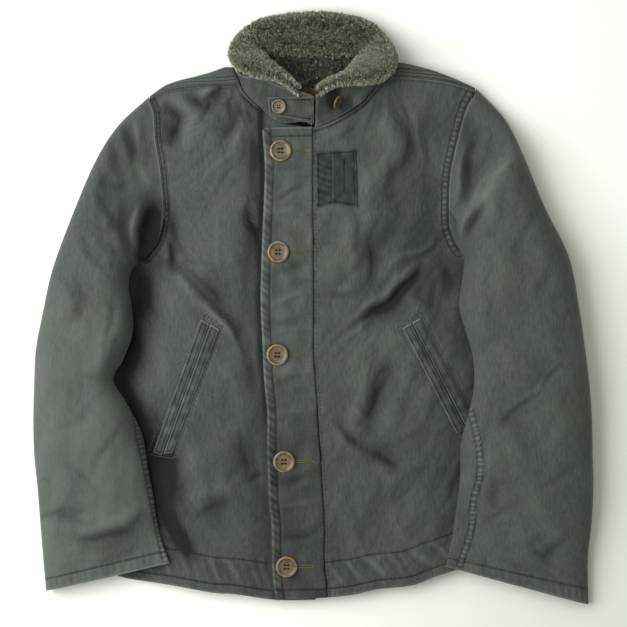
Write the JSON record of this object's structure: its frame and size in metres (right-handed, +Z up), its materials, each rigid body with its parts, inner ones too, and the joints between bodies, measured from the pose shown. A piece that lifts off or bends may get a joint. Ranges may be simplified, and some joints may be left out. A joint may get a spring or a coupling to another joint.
{
  "type": "deck jacket",
  "caption": "Buttoned short deck jacket laid flat, with a rolled pile collar, slanted welt pockets and open cuffs, hem and neck.",
  "frame": {"origin": "under the middle of the jacket's box, on the surface that it lies on", "axes": "+X to the jacket's own left side, +Y from the hem to the collar, +Z up from the surface, out of its front"},
  "size_m": [0.6734, 0.716, 0.0723],
  "materials": {
    "cloth": "faded charcoal cotton, matt",
    "patch": "darker plain cotton, matt",
    "pile": "grey-olive wool pile",
    "lining": "dark pile, in shade",
    "label": "plain brown woven tape",
    "button": "brown, satin, four holes"
  },
  "bodies": {
    "root": {"back": "cloth", "front_right": "cloth", "front_left": "cloth", "placket": "cloth", "sleeve_right": "cloth", "sleeve_left": "cloth", "collar_cloth": "cloth", "collar_pile": "pile", "neck_lining": "lining", "neck_label": "label", "chin_tab": "cloth", "chest_patch": "patch", "pocket_welt_right_front": "cloth", "pocket_welt_right_back": "cloth", "pocket_welt_left_front": "cloth", "pocket_welt_left_back": "cloth", "tab_button": "button", "spare_button": "button", "button_1": "button", "button_2": "button", "button_3": "button", "button_4": "button", "button_5": "button"}
  },
  "joints": []
}
